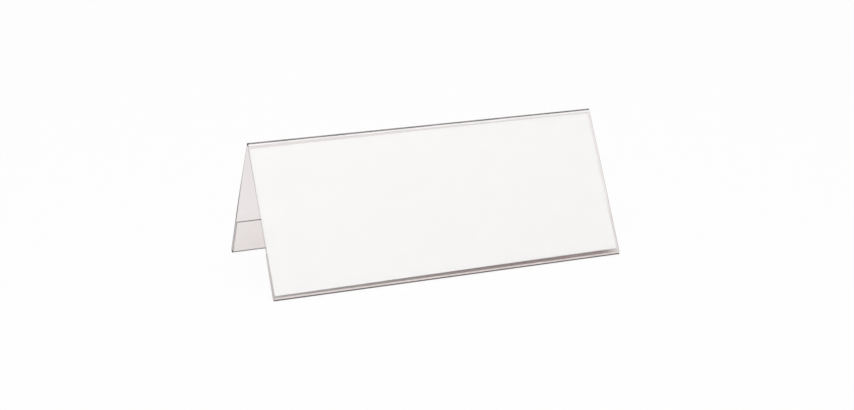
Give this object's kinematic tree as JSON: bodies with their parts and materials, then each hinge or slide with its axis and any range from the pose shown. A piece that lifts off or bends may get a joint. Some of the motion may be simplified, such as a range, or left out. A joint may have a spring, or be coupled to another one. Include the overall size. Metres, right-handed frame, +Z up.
{
  "type": "name tent",
  "caption": "Free-standing clear film name tent: two leaves folded at the ridge, return flaps at the feet, and a blank white card in the front pocket that slides out sideways.",
  "frame": {"origin": "on the table, under the middle of the ridge", "axes": "+X along the ridge to the viewer's right, front leaf towards -Y, +Z up"},
  "size_m": [0.152, 0.0642, 0.0563],
  "materials": {
    "clear_film": "clear hard film, glossy, cut edges",
    "white_card": "smooth uncoated white card"
  },
  "bodies": {
    "front_leaf": {"front_panel": "clear_film", "ridge_fold": "clear_film", "front_foot_fold": "clear_film"},
    "rear_leaf": {"rear_panel": "clear_film", "rear_foot_fold": "clear_film"},
    "front_lip": {"front_flap": "clear_film"},
    "rear_lip": {"rear_flap": "clear_film"},
    "card": {"name_card": "white_card"}
  },
  "joints": [
    {"name": "ridge_bend", "type": "hinge", "parent": "front_leaf", "child": "rear_leaf", "pos_m": [0, 0, 0.05581], "axis": [1, 0, 0], "range_deg": [-46, 120], "stiffness_Nm_per_rad": 0.15, "deforming": ["ridge_fold"]},
    {"name": "front_flap_bend", "type": "hinge", "parent": "front_leaf", "child": "front_lip", "pos_m": [0, -0.03107, 0.001], "axis": [-1, 0, 0], "range_deg": [0, 10], "stiffness_Nm_per_rad": 0.006, "deforming": ["front_foot_fold"]},
    {"name": "rear_flap_bend", "type": "hinge", "parent": "rear_leaf", "child": "rear_lip", "pos_m": [0, 0.03107, 0.001], "axis": [1, 0, 0], "range_deg": [-2, 10], "stiffness_Nm_per_rad": 0.006, "deforming": ["rear_foot_fold"]},
    {"name": "card_slide", "type": "slide", "parent": "front_leaf", "child": "card", "axis": [1, 0, 0], "range_m": [-0.13, 0.13]}
  ]
}
